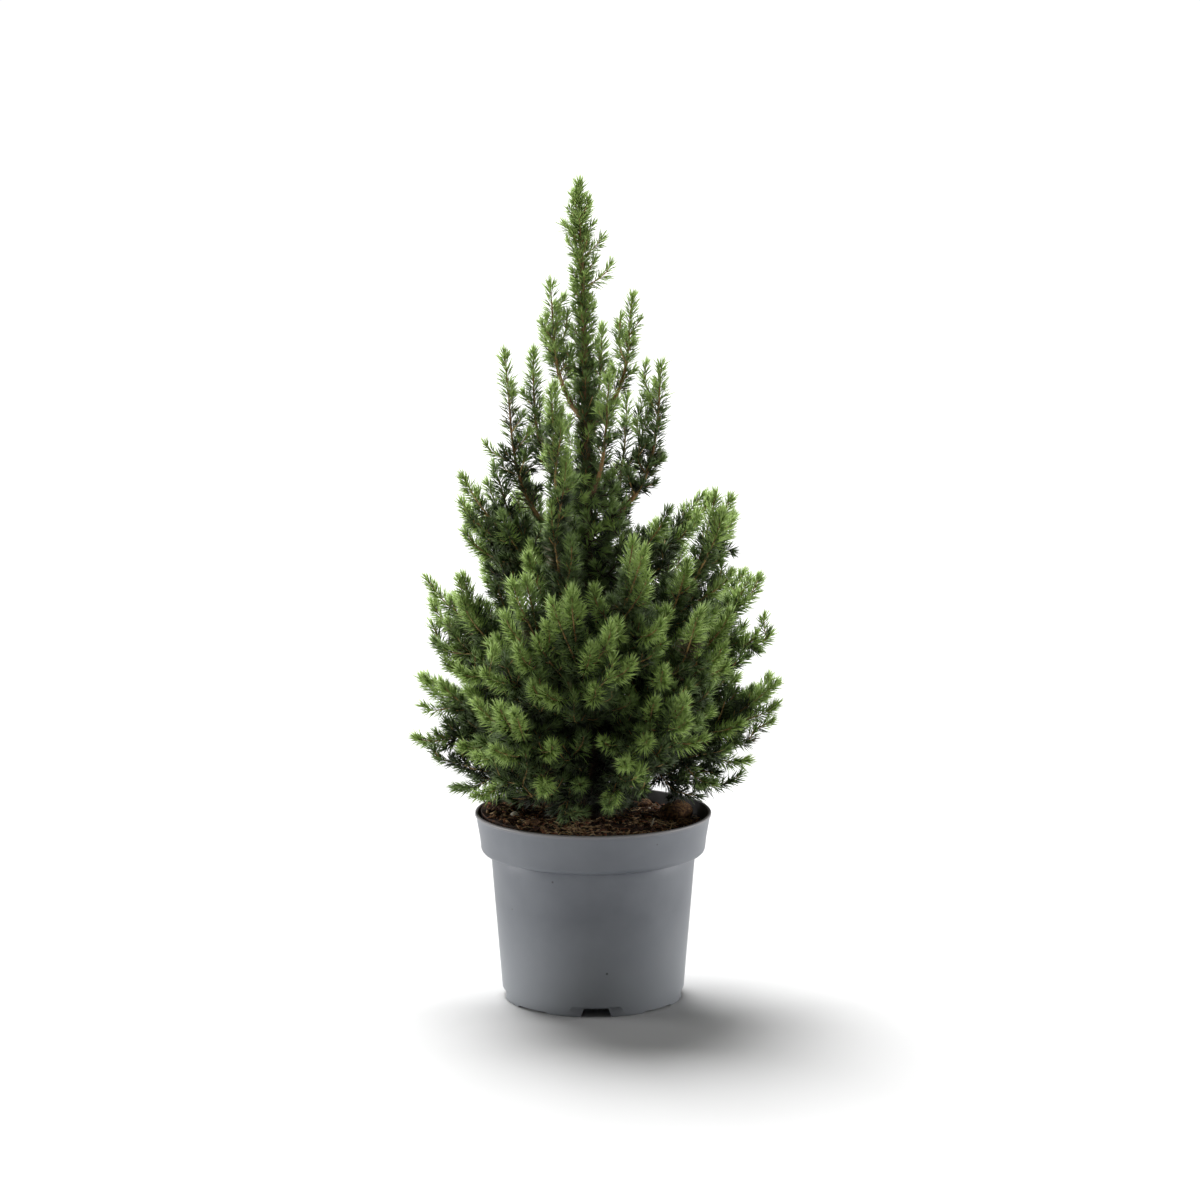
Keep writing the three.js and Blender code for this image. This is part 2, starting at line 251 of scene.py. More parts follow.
def clouds(name, size, depth=2):
    """A soft noise that displaces a surface, with lumps of a real size."""
    texture = bpy.data.textures.new(name, "CLOUDS")
    texture.noise_scale = size
    texture.noise_depth = depth
    return texture


def merged_copy(node, name):
    """A copy of a CAD node as one closed surface."""
    piece = bpy.data.objects.new(name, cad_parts[node].data.copy())
    piece.data.materials.clear()
    link(piece)
    select_only(piece)
    set_mode("EDIT")
    bpy.ops.mesh.select_all(action="SELECT")
    bpy.ops.mesh.remove_doubles(threshold=1e-5)
    set_mode("OBJECT")
    return piece


def join(pieces, name):
    bpy.ops.object.select_all(action="DESELECT")
    for piece in pieces:
        piece.select_set(True)
    bpy.context.view_layer.objects.active = pieces[0]
    if len(pieces) > 1:
        bpy.ops.object.join()
    pieces[0].name = name
    return pieces[0]


# ---- materials
def pot_polypropylene():
    """Injection-moulded grey polypropylene: satin, with a fine grain, faint clouding and a dusty lip."""
    material, tree, shader = new_material("grey_polypropylene", "#6d7177", 0.42)
    shader.inputs["IOR"].default_value = 1.49
    place = object_place(tree)
    height = add_node(tree, "SeparateXYZ", None, {"Vector": place}).outputs["Z"]
    cloudy = noise(tree, place, 1 / 28, 5)
    plastic = ramp(tree, cloudy, [(0.3, "#686c73"), (0.7, "#73777d")])
    # The lip is dusty. The lower wall is painted paler towards the foot: painted light, brighter low down.
    dusty = lay_over(tree, plastic, "#8f8784", share_between(tree, height, 148.5 * MM, 151.5 * MM, 0, 0.55))
    painted_light_lower_wall = lay_over(tree, dusty, "#94989d", share_between(tree, height, 80 * MM, 4 * MM, 0, 0.95))
    specks = add_node(tree, "TexVoronoi", {"Scale": 46}, {"Vector": place}).outputs["Distance"]
    dirty = lay_over(tree, painted_light_lower_wall, "#393837", share_between(tree, specks, 0.03, 0.055, 0.75, 0))
    tree.links.new(dirty, shader.inputs["Base Color"])
    tree.links.new(share_between(tree, cloudy, 0, 1, 0.36, 0.5), shader.inputs["Roughness"])
    # The mould's spark-eroded grain is about 0.3 mm; it is drawn at 0.8 mm so that it shows.
    set_bump(tree, shader, noise(tree, place, 0.8 * MM, 2), 0.12, 0.1 * MM)
    return material


def earthy(name, dark, middle, light, grain, roughness=0.9, relief=0.4 * MM):
    """A moist, matt natural matter, mottled from dark to light in grains of a real size."""
    material, tree, shader = new_material(name, middle, roughness)
    mottle = noise(tree, object_place(tree), grain, 6)
    tone = ramp(tree, mottle, [(0.34, dark), (0.5, middle), (0.66, light)])
    tree.links.new(tone, shader.inputs["Base Color"])
    set_bump(tree, shader, mottle, 0.6, relief)
    return material


def spruce_bark():
    """Thin scaly spruce bark: dark brown and flaking low down, orange-tan on the young wood above."""
    material, tree, shader = new_material("spruce_bark", "#5a4030", 0.82)
    place = object_place(tree)
    # Flakes are about 3 mm across and stand a little taller than wide.
    stretch = add_node(tree, "Mapping", None, {"Vector": place})
    stretch.inputs["Scale"].default_value = (1, 1, 0.55)
    tall = stretch.outputs["Vector"]
    mottle = noise(tree, tall, 1 / 190, 5)
    old = ramp(tree, mottle, [(0.32, "#241a14"), (0.52, "#423126"), (0.7, "#66503d")])
    young = ramp(tree, mottle, [(0.32, "#7c6040"), (0.52, "#a08259"), (0.7, "#bb9f74")])
    height = add_node(tree, "SeparateXYZ", None, {"Vector": place}).outputs["Z"]
    youth = share_between(tree, height, 360 * MM, 520 * MM)
    color = add_node(tree, "Mix", {"data_type": "RGBA"}, {"Factor": youth, "A": old, "B": young})
    tree.links.new(color.outputs["Result"], shader.inputs["Base Color"])
    flakes = add_node(tree, "TexVoronoi", {"Scale": 330}, {"Vector": tall}).outputs["Distance"]
    set_bump(tree, shader, flakes, 0.7, 0.5 * MM)
    return material


# Spruce needles, in tones from painted deep shade in the heart of the crown to painted light on the newest
# growth, partly also for the needles' age. Each spray has one plain colour, so that the crown is dappled
# shoot by shoot.
NEEDLE_TONES = [
    ("needles_heart", "#1e2513"),
    ("needles_shaded", "#2b391c"),
    ("needles_deep_painted_shade", "#3f5027"),
    ("needles_green", "#566b37"),
    ("needles_sunlit", "#77914a"),
    ("needles_new_growth_painted_light", "#98b45c"),
]
OLIVE_TONES = [("needles_olive", "#565a31"), ("needles_old", "#57502f")]
# Young stems are orange-tan and those that carry side twigs are brown; the inner twigs are darkest, for
# older wood and as painted shade.
STEM_TONES = [("stem_old_painted_shade", "#3a2b1f"), ("stem_brown", "#86683f"), ("stem_tan", "#a98b59")]


def plain_set(tones, roughness):
    """One plain waxy or woody material for each tone, for sprays too small to carry a pattern."""
    made = []
    for name, color in tones:
        material, _, shader = new_material(name, color, roughness)
        shader.inputs["IOR"].default_value = 1.45
        made.append(material)
    return made


# ---- the pot
def arc(middle, radius, first, last, count):
    """Points on an arc of a profile, in degrees from outwards (0) through up (90)."""
    angles = np.radians(np.linspace(first, last, count))
    return [(middle[0] + radius * math.cos(a), middle[1] + radius * math.sin(a)) for a in angles]


def lerp(a, b, share):
    return a + (b - a) * share


def slope(start, end, count):
    """Points up a straight stretch of a profile, without its start."""
    shares = [i / count for i in range(1, count + 1)]
    return [(lerp(start[0], end[0], share), lerp(start[1], end[1], share)) for share in shares]


def pot_profile():
    """The pot's section as (radius, height), from the middle of its underside round to its inner floor."""
    heart = 12 * MM
    bead = 1.3 * MM
    step = 2.2 * MM
    corner = 5 * MM
    outer, inner, recess = FOOT["outer"], FOOT["inner"], FOOT["recess"]
    under = [(heart, recess), (inner - 1 * MM, recess)]
    ring = [(inner, recess - 1 * MM), (inner, 0.5 * MM), (inner + 0.5 * MM, 0)]
    toe = [(outer - 0.8 * MM, 0)] + arc((outer - 0.8 * MM, 1.2 * MM), 1.2 * MM, -60, -10, 4)
    rounded = []
    for share in (0.2, 0.4, 0.6, 0.8, 1.0):
        rounded.append((lerp(outer + 0.45 * MM, BODY["foot"], share**0.6), share * 6.5 * MM + 2.5 * MM))
    wall = slope((BODY["foot"], BODY["foot_height"]), (BODY["top"], BODY["height"]), 12)
    wall.append((BODY["top"] - 0.2 * MM, BODY["height"] + 0.6 * MM))
    wall.append((BODY["top"] + 0.7 * MM, BODY["height"] + 1.1 * MM))
    shoulder = arc((BAND["foot"] - corner, BAND["height"] - 2.0 * MM), corner, -48, 4, 7)
    band = slope((BAND["foot"], BAND["height"] + 1 * MM), (BAND["top"], LIP["foot"] - 0.6 * MM), 5)
    lip = arc((LIP["radius"] - bead, LIP["foot"] + bead - 0.2 * MM), bead, -55, 0, 4)
    lip += arc((LIP["radius"] - bead, LIP["top"] - bead), bead, 0, 90, 6)
    lip += arc((LIP["edge"] + 0.8 * MM, LIP["top"] - 0.8 * MM), 0.8 * MM, 100, 180, 4)
    inside = [(BAND["foot"] - POT_WALL, BAND["height"] + 1 * MM)]
    inside += [(BAND["foot"] - corner - step, BAND["height"] - corner)]
    inside += [(BODY["top"] - POT_WALL, BODY["height"]), (BODY["foot"] - POT_WALL, FOOT["floor"] + 4 * MM)]
    inside += [(BODY["foot"] - POT_WALL - 3 * MM, FOOT["floor"]), (heart, FOOT["floor"])]
    return under + ring + toe + rounded + wall + shoulder + band + lip + inside


def turned(name, profile, sides):
    """A round piece: a disc at the first (radius, height), its edge then pulled to each next one."""
    radius, height = profile[0]
    middle = (0, 0, height)
    bpy.ops.mesh.primitive_circle_add(vertices=sides, radius=radius, location=middle, fill_type="NGON")
    piece = bpy.context.active_object
    piece.name = name
    bpy.ops.object.transform_apply(location=True)
    set_mode("EDIT")
    bpy.ops.mesh.select_all(action="SELECT")
    bpy.ops.mesh.region_to_loop()
    for next_radius, next_height in profile[1:]:
        bpy.ops.mesh.extrude_edges_move(TRANSFORM_OT_translate={"value": (0, 0, next_height - height)})
        share = next_radius / radius
        bpy.ops.transform.resize(value=(share, share, 1), center_override=(0, 0, 0))
        radius, height = next_radius, next_height
    bpy.ops.mesh.edge_face_add()
    bpy.ops.mesh.select_all(action="SELECT")
    bpy.ops.mesh.normals_make_consistent(inside=False)
    set_mode("OBJECT")
    return piece


def wedge(bearing, near, foot, top, height, splay=0.0):
    """A cutter across the foot ring, as wide as foot below and top above, where splay takes it inwards."""
    depth = CUT_REACH - near
    low_width = foot + (foot - top) / height * CUT_DROP
    bpy.ops.mesh.primitive_cube_add(size=1, location=(0, 0, 0))
    piece = bpy.context.active_object
    piece.scale = (depth, low_width, height + CUT_DROP)
    piece.location = ((near + CUT_REACH) / 2, 0, (height - CUT_DROP) / 2)
    bpy.ops.object.transform_apply(location=True, rotation=True, scale=True)
    set_mode("EDIT")
    bpy.ops.mesh.select_mode(type="VERT")
    bpy.ops.mesh.select_all(action="DESELECT")
    set_mode("OBJECT")
    for vertex in piece.data.vertices:
        vertex.select = vertex.co.z > 0
    set_mode("EDIT")
    scale = ((depth + splay) / depth, top / low_width, 1)
    bpy.ops.transform.resize(value=scale, center_override=(CUT_REACH, 0, height))
    set_mode("OBJECT")
    piece.rotation_euler = (0, 0, math.radians(bearing))
    bpy.ops.object.transform_apply(rotation=True)
    return piece


def cut_round(piece, first, shape):
    """Takes a ring of equal cutters out of the piece, the first at a bearing in degrees."""
    cutters = [wedge(360 // NOTCHES * i + first, **shape) for i in range(NOTCHES)]
    tool = join(cutters, "cutter")
    modify(piece, "BOOLEAN", operation="DIFFERENCE", object=tool, solver="EXACT")
    bpy.data.objects.remove(tool)


def make_pot():
    """The pot: grey outside, and inside, up to just under its lip, painted dark as painted shade."""
    pot = turned("pot_shell", pot_profile(), POT_SIDES)
    cut_round(pot, NOTCH_TURN, NOTCH)
    # Flat splayed faces on both sides of each notch.
    cut_round(pot, NOTCH_TURN, FACET)
    # Shallow raised stretches of the foot's edge, half way between the notches.
    cut_round(pot, NOTCH_TURN + 45, RECESS)
    select_only(pot)
    bpy.ops.object.shade_smooth_by_angle(angle=math.radians(32))
    pot.data.materials.clear()
    pot.data.materials.append(pot_polypropylene())
    # The inner wall is painted dark grey: painted shade inside the pot.
    inner_wall_shade_paint = earthy("inner_wall_painted_shade", "#211f1e", "#2d2c2b", "#3b3b3a", 9 * MM, 0.6, 0.05 * MM)
    pot.data.materials.append(inner_wall_shade_paint)
    for polygon in pot.data.polygons:
        spot, normal = polygon.center, polygon.normal
        inward = normal.x * spot.x + normal.y * spot.y < -0.2 * math.hypot(spot.x, spot.y)
        if inward and FOOT["floor"] < spot.z < LIP["top"] - 3 * MM:
            polygon.material_index = 1
    declare(pot, ["pot"])


# ---- the potting mix
def make_mix():
    """The mix, from its CAD solid, with its top heaped and roughened in lumps and crumbs."""
    peat = earthy("peat_mix", "#17100b", "#38261b", "#6b4831", 3.2 * MM)
    mixture = merged_copy("soil", "mix_surface")
    modify(mixture, "SUBSURF", levels=2, render_levels=2, subdivision_type="SIMPLE")
    top = mixture.vertex_groups.new(name="top")
    for vertex in mixture.data.vertices:
        inner = np.clip((MIX_RADIUS - math.hypot(vertex.co.x, vertex.co.y)) / (6 * MM), 0, 1)
        if vertex.co.z > MIX_SIDE:
            top.add([vertex.index], float(inner), "REPLACE")
            vertex.co.z += HEAP * np.interp(vertex.co.x, [-90 * MM, 40 * MM], [1.0, 0.0])
    modify(mixture, "SUBSURF", levels=1, render_levels=1, subdivision_type="SIMPLE")
    for size, height in ((14 * MM, 3.4 * MM), (4 * MM, 2.2 * MM)):
        lumps = clouds("crumbs", size)
        push = {"strength": height, "mid_level": 0.5, "vertex_group": "top", "direction": "Z"}
        modify(mixture, "DISPLACE", texture=lumps, **push)
    mixture.data.materials.append(peat)
    declare(mixture, ["soil"])
    return mixture


def surface_tree(piece):
    """A search tree of a piece's surface, to set things down on it."""
    mesh = piece.data
    return BVHTree.FromPolygons([v.co[:] for v in mesh.vertices], [p.vertices[:] for p in mesh.polygons])


def drop_on(tree, x, y):
    """The height of the surface under a place."""
    hit = tree.ray_cast(Vector((x, y, 0.3)), Vector((0, 0, -1)))
    return hit[0].z if hit[0] is not None else MIX_LEVEL


def scatter(count, radius):
    """Even random places on a disc."""
    angle = RNG.random(count) * FULL_TURN
    away = radius * np.sqrt(RNG.random(count))
    return np.stack([away * np.cos(angle), away * np.sin(angle)], 1)


def chip_points(place, tree):
    """One flake of bark: an uneven lozenge plate, tilted where it lies."""
    scale = RNG.uniform(0.45, 1.25)
    length, width = CHIPS["length"] * scale, CHIPS["width"] * scale * RNG.uniform(0.6, 1.4)
    half = CHIPS["thick"] * RNG.uniform(0.5, 1.1) / 2
    outline = np.array([[-0.5, -0.15], [-0.2, -0.5], [0.35, -0.42], [0.5, 0.1], [0.1, 0.5], [-0.35, 0.35]])
    outline = outline * [length, width] * RNG.uniform(0.75, 1.15, (6, 1))
    flat = np.vstack([np.c_[outline, np.full(6, -half)], np.c_[outline * 0.86, np.full(6, half)]])
    way = unit(np.append(RNG.normal(size=2), RNG.normal() * 0.35))
    normal = unit(np.cross(way, np.cross(UP + RNG.normal(size=3) * 0.35, way)))
    other = np.cross(normal, way)
    height = drop_on(tree, *place) + half + 0.3 * MM
    return flat @ np.array([way, other, normal]) + [place[0], place[1], height]


def chip_faces():
    """The triangles of a plate with six corners below and six above."""
    bottom = [[0, i + 1, i] for i in range(1, 5)]
    top = [[6, 6 + i, 7 + i] for i in range(1, 5)]
    sides = []
    for i in range(6):
        j = (i + 1) % 6
        sides += [[i, j, 6 + j], [i, 6 + j, 6 + i]]
    return np.array(bottom + top + sides)


def make_chips(tree):
    """Loose bark chips all over the mix, in three shades of red-brown."""
    shades = [
        earthy("bark_chip_dark", "#2b1b12", "#4d3120", "#6b4730", 1.6 * MM),
        earthy("bark_chip_red", "#5c3623", "#8d583a", "#b07a55", 1.6 * MM),
        earthy("bark_chip_pale", "#8d6b4c", "#b29068", "#d0b18a", 1.6 * MM),
    ]
    places = scatter(CHIPS["count"], MIX_RADIUS - 1.5 * MM)
    points = np.vstack([chip_points(place, tree) for place in places])
    pattern = chip_faces()
    corners = 12
    faces = (np.arange(CHIPS["count"]) * corners)[:, None, None] + pattern[None]
    shade = RNG.choice(3, CHIPS["count"], p=[0.48, 0.36, 0.16])
    indices = np.repeat(shade, len(pattern))
    piece = mesh_piece("bark_chips", points, faces.reshape(-1, 3), shades, indices)
    declare(piece)


def across(ways):
    """Two directions square to each way and to each other, steady along one line."""
    reference = np.eye(3)[np.argmin(np.abs(ways.mean(0)))]
    side = units(np.cross(ways, reference))
    return side, np.cross(ways, side)


def tube(line, radii, sides):
    """A closed tube round a line, with a radius at each point."""
    ways = np.gradient(line, axis=0)
    ways /= np.maximum(lengths(ways), 1e-9)[:, None]
    side, other = across(ways)
    angles = FULL_TURN * np.arange(sides) / sides
    ring = side[:, None] * np.cos(angles)[None, :, None] + other[:, None] * np.sin(angles)[None, :, None]
    points = (line[:, None] + ring * np.asarray(radii)[:, None, None]).reshape(-1, 3)
    faces = []
    for i in range(len(line) - 1):
        for j in range(sides):
            a, b = i * sides + j, i * sides + (j + 1) % sides
            faces += [[a, b + sides, b], [a, a + sides, b + sides]]
    last = (len(line) - 1) * sides
    for j in range(1, sides - 1):
        faces += [[0, j, j + 1], [last, last + j + 1, last + j]]
    return points, np.array(faces)


def gather(parts):
    """Joins (points, faces) pairs into one pair of arrays."""
    offsets = np.cumsum([0] + [len(points) for points, _ in parts])
    points = np.vstack([points for points, _ in parts])
    faces = np.vstack([faces + offset for (_, faces), offset in zip(parts, offsets)])
    return points, faces


def fibre(place, tree, length, radius):
    """A thin curved root or straw that lies on the mix, inside the pot's wall."""
    count = 7
    way = RNG.random() * FULL_TURN
    bend = RNG.normal() * 1.1
    angle = way + bend * np.linspace(-0.5, 0.5, count)
    x = place[0] + np.cumsum(np.cos(angle)) * length / count
    y = place[1] + np.cumsum(np.sin(angle)) * length / count
    inward = np.minimum(1, (MIX_RADIUS - 2 * MM) / np.hypot(x, y))
    x, y = x * inward, y * inward
    z = np.array([drop_on(tree, a, b) for a, b in zip(x, y)]) + radius + RNG.random(count) * 1.2 * MM
    return tube(np.stack([x, y, z], 1), radius * np.linspace(1.1, 0.6, count), 4)


def make_fibres(tree):
    """Straw and root fibres all over the mix, with more straw at the front left."""
    straw = earthy("peat_fibre", "#8f6c46", "#c3a275", "#e8d3aa", 2.5 * MM, roughness=0.75)
    dark = earthy("root_fibre", "#3a281a", "#654730", "#8a6848", 2.5 * MM)
    pale, brown = [], []
    for i, place in enumerate(scatter(FIBRES["count"], MIX_RADIUS - 14 * MM)):
        length = FIBRES["length"] * RNG.uniform(0.5, 1.5)
        chosen = pale if i % 2 else brown
        chosen.append(fibre(place, tree, length, FIBRES["radius"] * RNG.uniform(0.7, 1.5)))
    more = 26
    for _ in range(more):
        place = np.array([-24, -52]) * MM + RNG.normal(size=2) * 13 * MM
        pale.append(fibre(place, tree, FIBRES["length"] * RNG.uniform(0.7, 1.3), FIBRES["radius"] * 1.2))
    declare(mesh_piece("straw_fibres", *gather(pale), [straw]))
    declare(mesh_piece("root_fibres", *gather(brown), [dark]))


def lump(x, y, size, tree, material):
    """A ball drawn out, turned by its place, dented by noise and set into the mix."""
    height = drop_on(tree, x, y) + size[2] * 0.25
    bpy.ops.mesh.primitive_ico_sphere_add(subdivisions=3, radius=0.5, location=(0, 0, 0))
    piece = bpy.context.active_object
    piece.scale = size
    piece.rotation_euler = (0, 0, x * 300)
    piece.location = (x, y, height)
    bpy.ops.object.transform_apply(location=True, rotation=True, scale=True)
    dents = clouds("dents", max(size) * 0.5)
    modify(piece, "DISPLACE", texture=dents, strength=max(size) * 0.22, mid_level=0.5)
    piece.data.materials.append(material)
    select_only(piece)
    bpy.ops.object.shade_smooth()
    return piece


def set_down(name, spots, tree, material):
    """Lumps given as (x, y, width, height) in millimetres, as one piece."""
    pieces = []
    for x, y, width, height in spots:
        size = (width * MM, width * 0.8 * MM, height * MM)
        pieces.append(lump(x * MM, y * MM, size, tree, material))
    declare(join(pieces, name))


def make_pebbles(tree):
    """Cream grains of perlite in the mix."""
    perlite = earthy("perlite", "#d6c9b0", "#f1e8d6", "#fffaf0", 1.5 * MM, roughness=0.8, relief=0.15 * MM)
    grains = [(-63, -17, 6.6), (-47, -24, 4.4), (-56, -35, 3.6), (22, -66, 3.2)]
    grains += [(64, -30, 2.8), (8, 58, 3.4), (-34, 62, 3.0), (46, 50, 2.6)]
    set_down("perlite_grains", [(x, y, width, width * 0.7) for x, y, width in grains], tree, perlite)


def make_clods(tree):
    """Fibrous brown clods of root and peat, the largest by the wall at the right."""
    clod = earthy("root_clod", "#3a2517", "#6e4c31", "#a57d53", 2.4 * MM, relief=0.8 * MM)
    spots = [(67, 21, 36, 17), (74, -2, 17, 7), (-66, 14, 16, 6), (-48, -46, 14, 5), (38, -62, 13, 5)]
    spots += [(4, -74, 11, 4), (-20, 66, 22, 8), (40, 62, 18, 7), (-74, 30, 12, 5)]
    set_down("root_clods", spots, tree, clod)


def make_sticks(tree):
    """One pale splinter standing in the mix and one dark twig over the lip at the left."""
    pale = earthy("bare_wood", "#cbb898", "#ebdfc5", "#fbf4e4", 2 * MM, roughness=0.7, relief=0.1 * MM)
    dead = earthy("dead_twig", "#1d140e", "#33241a", "#4b3728", 2 * MM)
    x, y = 45.5 * MM, -21.7 * MM
    foot = np.array([x, y, drop_on(tree, x, y) - 2 * MM])
    line = foot + np.linspace(0, 1, 4)[:, None] * np.array([3, -2, 9.5]) * MM
    splinter = tube(line, [0.75 * MM, 0.8 * MM, 0.65 * MM, 0.4 * MM], 6)
    declare(mesh_piece("splinter", *splinter, [pale]))
    start = np.array([-84, 22, 149]) * MM
    share = np.linspace(0, 1, 7)[:, None]
    line = start + share * np.array([-14, 4, 13]) * MM + np.sin(share * 3) * np.array([0, 0, 2]) * MM
    twig = tube(line, np.linspace(0.8, 0.35, 7) * MM, 6)
    declare(mesh_piece("dead_twig", *twig, [dead]))


# ---- trunk and boughs
def make_wood():
    """Trunk and boughs as one mesh, fused where they meet, with the bark's relief."""
    names = ["trunk"] + sorted(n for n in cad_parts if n.startswith("bough_"))
    limbs = []
    for name in names:
        limb = merged_copy(name, name + "_limb")
        modify(limb, "SUBSURF", levels=2, render_levels=2)
        limbs.append(limb)
    wood = join(limbs, "wood")
    modify(wood, "REMESH", mode="VOXEL", voxel_size=1.1 * MM)
    modify(wood, "SMOOTH", factor=0.5, iterations=3)
    # Long soft ribs first, then the edges of the bark's scales.
    modify(wood, "DISPLACE", texture=clouds("ribs", 7 * MM), strength=1.1 * MM, mid_level=0.5)
    scales = bpy.data.textures.new("scales", "VORONOI")
    scales.noise_scale = 3.2 * MM
    modify(wood, "DISPLACE", texture=scales, strength=0.8 * MM, mid_level=0.4)
    select_only(wood)
    bpy.ops.object.shade_smooth()
    wood.data.materials.clear()
    wood.data.materials.append(spruce_bark())
    declare(wood, names)


# ---- growing twigs
def surface_points(points, faces, spacing):
    """Even random points on a triangle mesh, with the outward normal of each."""
    a, b, c = (points[faces[:, i]] for i in range(3))
    cross = np.cross(b - a, c - a)
    area = lengths(cross) / 2
    good = area > 1e-9
    count = int(area.sum() / spacing**2)
    pick = RNG.choice(len(faces), count, p=area / area.sum())
    pick = pick[good[pick]]
    u, v = RNG.random((2, len(pick), 1))
    flip = (u + v) > 1
    u, v = np.where(flip, 1 - u, u), np.where(flip, 1 - v, v)
    spot = a[pick] + u * (b - a)[pick] + v * (c - a)[pick]
    return spot, cross[pick] / (2 * area[pick])[:, None]


def bud_places(node):
    """Where twigs of a mass may end: just inside its skin, some deeper, or on the axis of a spike."""
    points, faces = welded(node)
    tree = BVHTree.FromPolygons([Vector(p) for p in points], faces.tolist())
    spots, normals = surface_points(points, faces, 4 * MM)
    places = []
    for spot, normal in zip(spots, normals):
        start = spot - normal * 1e-5
        hit = tree.ray_cast(Vector(start), Vector(-normal))
        thick = hit[3] if hit[0] is not None else SHELL * 2
        depth = SHELL if RNG.random() < 0.7 else SHELL + RNG.random() * 20 * MM
        places.append(spot - normal * min(depth, thick / 2))
    return np.array(places)


def hermite(start, leave, end, arrive, count):
    """Points on a smooth curve from start to end with the given directions."""
    s = np.linspace(0, 1, count)[:, None]
    reach = np.linalg.norm(end - start)
    h00, h10 = 2 * s**3 - 3 * s**2 + 1, s**3 - 2 * s**2 + s
    h01, h11 = -2 * s**3 + 3 * s**2, s**3 - s**2
    return h00 * start + h10 * leave * reach + h01 * end + h11 * arrive * reach


def arrival(bud, places, chord):
    """The direction in which a twig ends: along a slender spike, else bent upwards, less so low down."""
    near = places[lengths(places - bud) < 22 * MM]
    if len(near) > 8:
        values, axes = np.linalg.eigh(np.cov((near - near.mean(0)).T))
        if values[2] > 7 * values[1]:
            axis = axes[:, 2] * np.sign(axes[:, 2] @ (bud - near.mean(0)))
            return unit(axis + 0.2 * chord)
    lift = np.interp(bud[2], [0.17, 0.25, 0.34], [0.12, 0.6, 1.0])
    return unit(chord + lift * UP + 0.16 * RNG.normal(size=3))


class Twigs:
    """Every twig grown so far, as points with directions, for later twigs to start from."""

    def __init__(self):
        self.lines = []
        self.points = np.empty((0, 3))
        self.ways = np.empty((0, 3))
        self.order = np.empty(0, int)
        self.mass = np.empty(0, int)

    def add(self, line, order, mass, radius, kind):
        ways = units(np.gradient(line, axis=0))
        length = lengths(np.diff(line, axis=0)).sum()
        twig = dict(line=line, ways=ways, order=order, mass=mass, radius=radius, kind=kind, length=length)
        self.lines.append(twig)
        self.points = np.vstack([self.points, line])
        self.ways = np.vstack([self.ways, ways])
        self.order = np.append(self.order, np.full(len(line), order))
        self.mass = np.append(self.mass, np.full(len(line), mass))


def best_start(twigs, bud, mass, upright):
    """The twig point from which a side twig best reaches a bud: near, and turning off by some 42 degrees."""
    mine = np.flatnonzero((twigs.mass == mass) & (twigs.order < 5))
    way = bud - twigs.points[mine]
    reach = lengths(way)
    way /= np.maximum(reach, 1e-6)[:, None]
    turn = np.degrees(np.arccos(np.clip((way * twigs.ways[mine]).sum(1), -1, 1)))
    cost = reach * (1 + ((turn - 42) / 32) ** 2)
    cost *= 1 + 1.5 * np.clip(upright - way[:, 2], 0, 1)
    cost *= 1 + 0.12 * twigs.order[mine]
    cost[reach > LONGEST] *= 3
    best = np.argmin(cost)
    return mine[best], reach[best], way[best]


def gaps_to(line, places):
    """How far each place lies from the nearest point of a line."""
    return np.linalg.norm(places[:, None] - line[None], axis=2).min(1)


def grow_mass(twigs, mass, places, upright, kind, cover):
    """Adds side twigs until every place in the mass lies near one. The furthest place comes first."""
    gaps = np.full(len(places), np.inf)
    for part in np.array_split(twigs.points, max(1, len(twigs.points) // 500)):
        gaps = np.minimum(gaps, gaps_to(part, places))
    most = 600
    for _ in range(most):
        pick = int(np.argmax(gaps + RNG.random(len(gaps)) * 2 * MM))
        if gaps[pick] < cover:
            break
        bud = places[pick]
        start, reach, chord = best_start(twigs, bud, mass, upright)
        leave = unit(chord + 0.3 * twigs.ways[start] - 0.3 * UP)
        count = max(4, int(reach / STEP) + 2)
        line = hermite(twigs.points[start], leave, bud, arrival(bud, places, chord), count)
        order = int(twigs.order[start]) + 1
        twigs.add(line, order, mass, TIP_RADIUS + 0.011 * reach, kind)
        gaps = np.minimum(gaps, gaps_to(line, places))
        gaps[pick] = 0


def grow_tufts(twigs, mass, length, every):
    """Short side shoots round the older part of each long twig, where there is room for them."""
    longer = [twig for twig in twigs.lines if twig["mass"] == mass and twig["length"] > SPRAY + 2 * every]
    for twig in longer:
        side, other = across(twig["ways"])
        turn = RNG.random() * FULL_TURN
        for spot in np.arange(2 * every, twig["length"] - SPRAY, every * 0.7):
            turn += TUFT["turn"]
            i = min(int(spot / twig["length"] * len(twig["line"])), len(twig["line"]) - 1)
            outward = side[i] * math.cos(turn) + other[i] * math.sin(turn)
            way = unit(0.8 * twig["ways"][i] + 0.62 * outward + 0.2 * UP)
            size = length * RNG.uniform(0.7, 1.4)
            start = twig["line"][i]
            end = start + way * size
            if lengths(twigs.points - end).min() < TUFT["clear"]:
                continue
            line = hermite(start, way, end, unit(way + 0.5 * UP), 5)
            twigs.add(line, twig["order"] + 1, mass, TIP_RADIUS * 1.3, "tuft")


TRUNK_POINTS, _ = welded("trunk")
TRUNK_LEVELS = np.unique(np.round(TRUNK_POINTS[:, 2], 4))
TRUNK_RINGS = np.array([TRUNK_POINTS[np.abs(TRUNK_POINTS[:, 2] - z) < 1e-4].mean(0) for z in TRUNK_LEVELS])


def trunk_middle(height):
    """The middle of the trunk at a height."""
    return np.array([np.interp(height, TRUNK_RINGS[:, 2], TRUNK_RINGS[:, i]) for i in range(3)])


